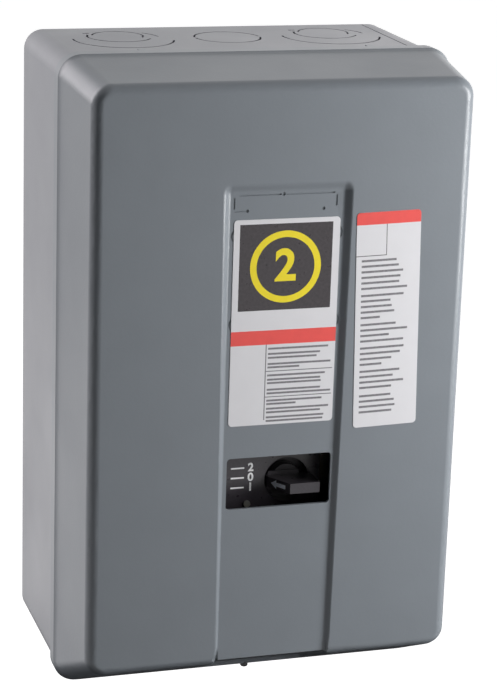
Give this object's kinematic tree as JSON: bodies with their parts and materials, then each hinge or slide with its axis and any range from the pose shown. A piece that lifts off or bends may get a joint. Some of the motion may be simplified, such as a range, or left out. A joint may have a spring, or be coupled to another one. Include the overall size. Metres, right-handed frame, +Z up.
{
  "type": "enclosed magnetic motor starter",
  "caption": "Wall-mounted grey sheet-steel enclosure with a swing-up cover, windowed selector switch, and a contactor with overload relay inside.",
  "frame": {"origin": "middle of the case's back face, which lies on the wall", "axes": "+Y into the wall, so the front cover faces -Y; +Z up; +X to the right as seen by someone facing the cover"},
  "size_m": [0.1726, 0.1207, 0.28],
  "materials": {
    "case_enamel": "semi-gloss grey enamel",
    "cover_enamel": "semi-gloss grey enamel",
    "white_label": "satin vinyl sticker",
    "zinc_steel": "zinc plated",
    "black_steel": "black oxide",
    "black_moulding": "moulded thermoset",
    "selector_moulding": "moulded thermoplastic",
    "arrow_paint": "pale inlay",
    "copper": "plated copper",
    "heater_metal": "bright alloy",
    "laminations": "stacked steel laminations",
    "coil_wrap": "varnished tape",
    "bobbin_nylon": "nylon",
    "rubber_pad": "black rubber",
    "spring_steel": "spring wire",
    "reset_red": "moulded red",
    "plunger_white": "moulded white",
    "wire_red": "insulation",
    "wire_black": "insulation"
  },
  "bodies": {
    "case": {"back_box": "case_enamel", "top_end_plate": "case_enamel", "bottom_end_plate": "case_enamel", "latch_bracket": "zinc_steel", "device_plate": "zinc_steel", "plate_spacers": "zinc_steel", "plate_screws": "zinc_steel", "contactor_base": "black_moulding", "contactor_screws": "zinc_steel", "arc_cover": "black_moulding", "arc_cover_screws": "zinc_steel", "line_terminals": "copper", "load_terminals": "copper", "line_screws": "zinc_steel", "load_screws": "zinc_steel", "magnet_core": "laminations", "shading_rings": "heater_metal", "magnet_pad": "rubber_pad", "coil_bobbin": "bobbin_nylon", "coil_winding": "coil_wrap", "return_springs": "spring_steel", "aux_block": "black_moulding", "aux_screws": "zinc_steel", "relay_body": "black_moulding", "relay_screws": "zinc_steel", "heater_elements": "heater_metal", "heater_screws": "zinc_steel", "pole_links": "copper", "motor_terminals": "copper", "motor_terminal_screws": "zinc_steel", "reset_spring": "spring_steel", "trip_brackets": "zinc_steel", "earth_lug": "zinc_steel", "earth_screw": "zinc_steel", "selector_housing": "selector_moulding", "selector_screws": "zinc_steel", "legend_plate": "selector_moulding", "selector_bracket": "zinc_steel", "bracket_screws": "zinc_steel", "selector_block": "selector_moulding", "coil_wires": "wire_red", "selector_wires": "wire_black"},
    "cover": {"cover_shell": "cover_enamel", "centre_label": "white_label", "side_label": "white_label", "cover_nut": "zinc_steel"},
    "cover_screw": {"cover_screw": "black_steel"},
    "contact_carrier": {"armature": "laminations", "contact_carrier": "black_moulding", "contact_bridges": "copper", "contact_springs": "spring_steel"},
    "aux_plunger": {"aux_plunger": "plunger_white"},
    "reset_button": {"reset_plunger": "reset_red"},
    "trip_bar": {"trip_bar": "black_moulding"},
    "selector": {"selector_knob": "selector_moulding", "selector_crank": "selector_moulding", "knob_arrow": "arrow_paint"},
    "selector_carriage": {"selector_carriage": "selector_moulding"}
  },
  "joints": [
    {"name": "cover_swing", "type": "hinge", "parent": "case", "child": "cover", "pos_m": [0, -0.06795, 0.13745], "axis": [-1, 0, 0], "range_deg": [0, 65]},
    {"name": "cover_screw_turn", "type": "hinge", "parent": "cover", "child": "cover_screw", "pos_m": [0, -0.084, -0.128], "axis": [0, 0, -1], "continuous": true},
    {"name": "contactor_pull_in", "type": "slide", "parent": "case", "child": "contact_carrier", "axis": [0, 1, 0], "range_m": [0, 0.006], "stiffness_N_per_m": 900, "springref_m": -0.004},
    {"name": "aux_contact_slide", "type": "slide", "parent": "case", "child": "aux_plunger", "axis": [0, 1, 0], "range_m": [0, 0.006]},
    {"name": "overload_reset", "type": "slide", "parent": "case", "child": "reset_button", "axis": [0, 1, 0], "range_m": [0, 0.003], "stiffness_N_per_m": 400, "springref_m": -0.002},
    {"name": "trip_bar_turn", "type": "hinge", "parent": "case", "child": "trip_bar", "pos_m": [0, -0.0619, -0.053], "axis": [1, 0, 0], "range_deg": [0, 8], "stiffness_Nm_per_rad": 0.02},
    {"name": "selector_turn", "type": "hinge", "parent": "case", "child": "selector", "pos_m": [0.0102, -0.1015, -0.04225], "axis": [0, 1, 0], "range_deg": [-30, 30]},
    {"name": "selector_carriage_slide", "type": "slide", "parent": "case", "child": "selector_carriage", "axis": [1, 0, 0], "range_m": [-0.0026, 0.0026]}
  ],
  "couplings": [
    {"joint": "aux_contact_slide", "follows": "contactor_pull_in", "ratio": 1},
    {"joint": "selector_carriage_slide", "follows": "selector_turn", "m_per_rad": 0.004775}
  ]
}
